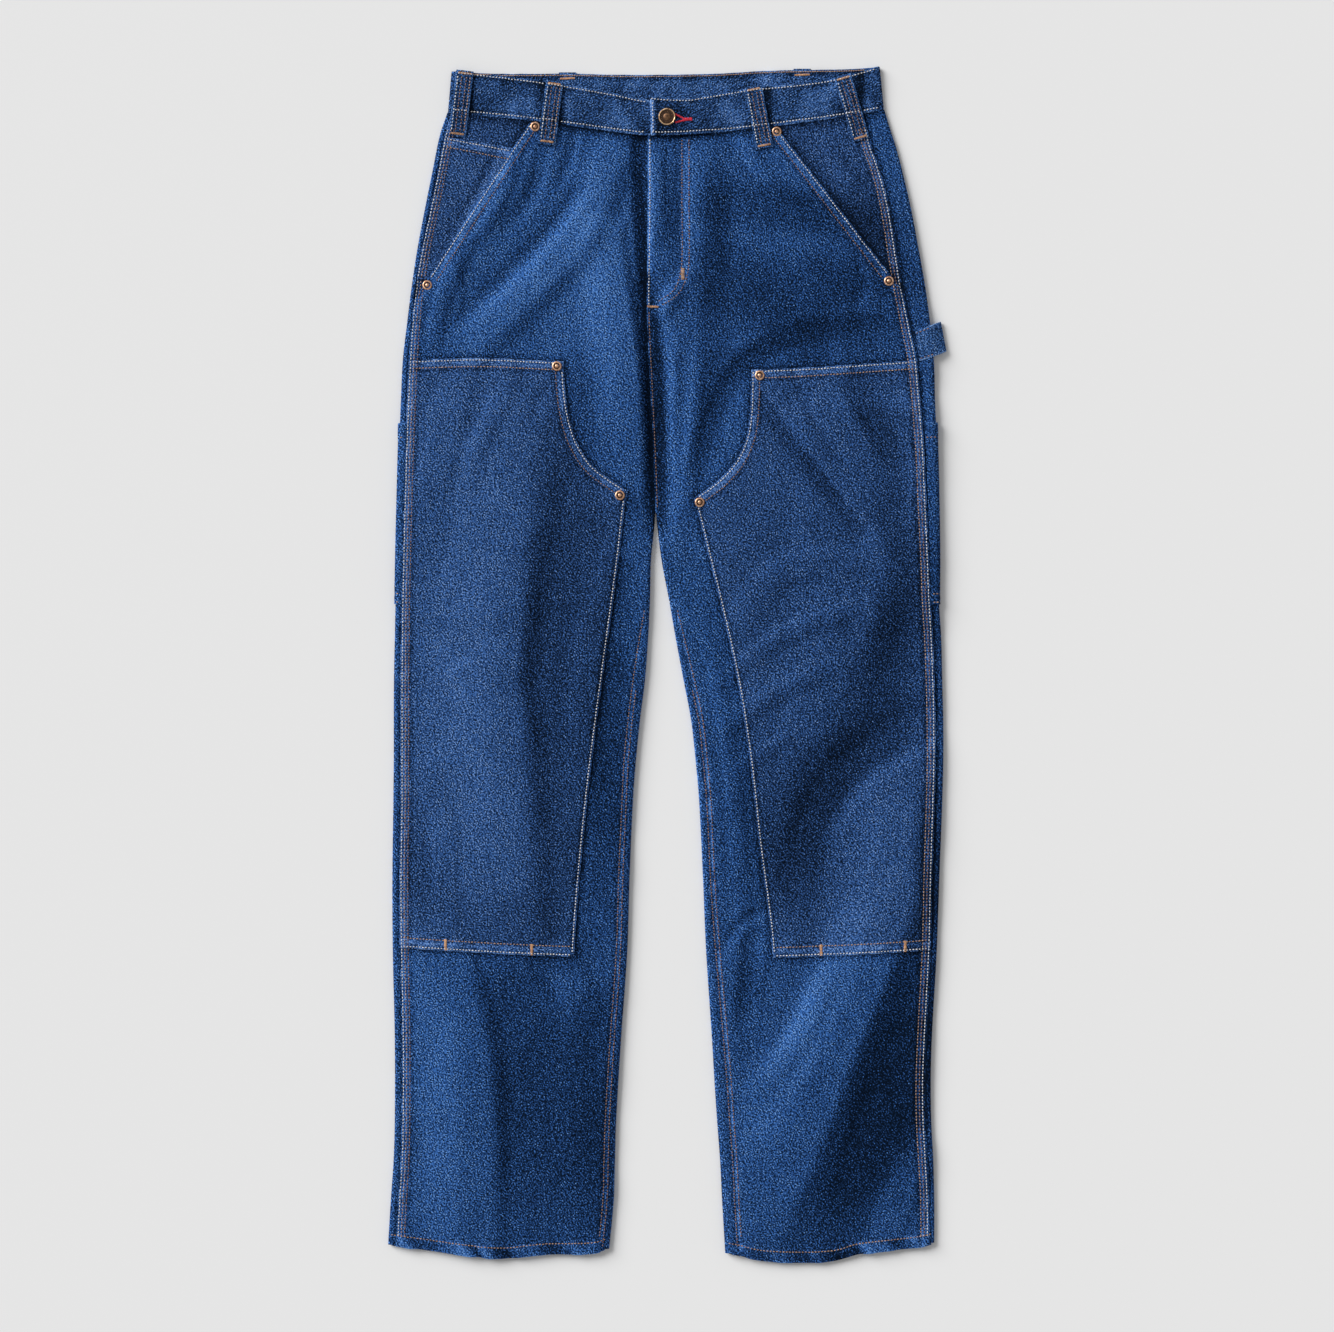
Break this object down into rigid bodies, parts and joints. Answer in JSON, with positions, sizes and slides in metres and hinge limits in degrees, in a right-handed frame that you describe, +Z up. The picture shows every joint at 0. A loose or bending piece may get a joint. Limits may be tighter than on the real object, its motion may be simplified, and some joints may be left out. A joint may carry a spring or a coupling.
{
  "type": "carpenter pants laid flat",
  "caption": "Double-knee denim carpenter pants laid flat, front up, with slanted pockets, riveted knee patches, tool pockets, hammer loop, belt loops and waist button.",
  "frame": {"origin": "centre of the garment's outline on the surface it lies on, at z = 0", "axes": "+Y from the hems to the waist, +X to the right seen from above (the wearer's left), +Z up from the table out of the garment's front"},
  "size_m": [0.558, 1.1946, 0.0121],
  "materials": {
    "denim_body": "matte indigo twill",
    "denim_patch": "matte indigo twill",
    "denim_band": "matte indigo twill",
    "denim_inside": "matte indigo twill",
    "rivet_copper": "aged copper",
    "button_brass": "antiqued"
  },
  "bodies": {
    "root": {"back_left": "denim_body", "back_right": "denim_body", "belt_loop_back_left": "denim_band", "belt_loop_back_right": "denim_band", "belt_loop_front_left": "denim_band", "belt_loop_front_right": "denim_band", "belt_loop_side_left": "denim_band", "belt_loop_side_right": "denim_band", "button": "button_brass", "coin_pocket": "denim_inside", "front_left": "denim_body", "front_right": "denim_body", "hammer_loop": "denim_band", "knee_patch_left": "denim_patch", "knee_patch_right": "denim_patch", "pocket_facing_left": "denim_inside", "pocket_facing_right": "denim_inside", "rivet_mouth_foot_left": "rivet_copper", "rivet_mouth_foot_right": "rivet_copper", "rivet_mouth_top_left": "rivet_copper", "rivet_mouth_top_right": "rivet_copper", "rivet_patch_corner_left": "rivet_copper", "rivet_patch_corner_right": "rivet_copper", "rivet_patch_top_left": "rivet_copper", "rivet_patch_top_right": "rivet_copper", "tool_pocket_left": "denim_body", "tool_pocket_right": "denim_body", "waistband": "denim_band"}
  },
  "joints": []
}
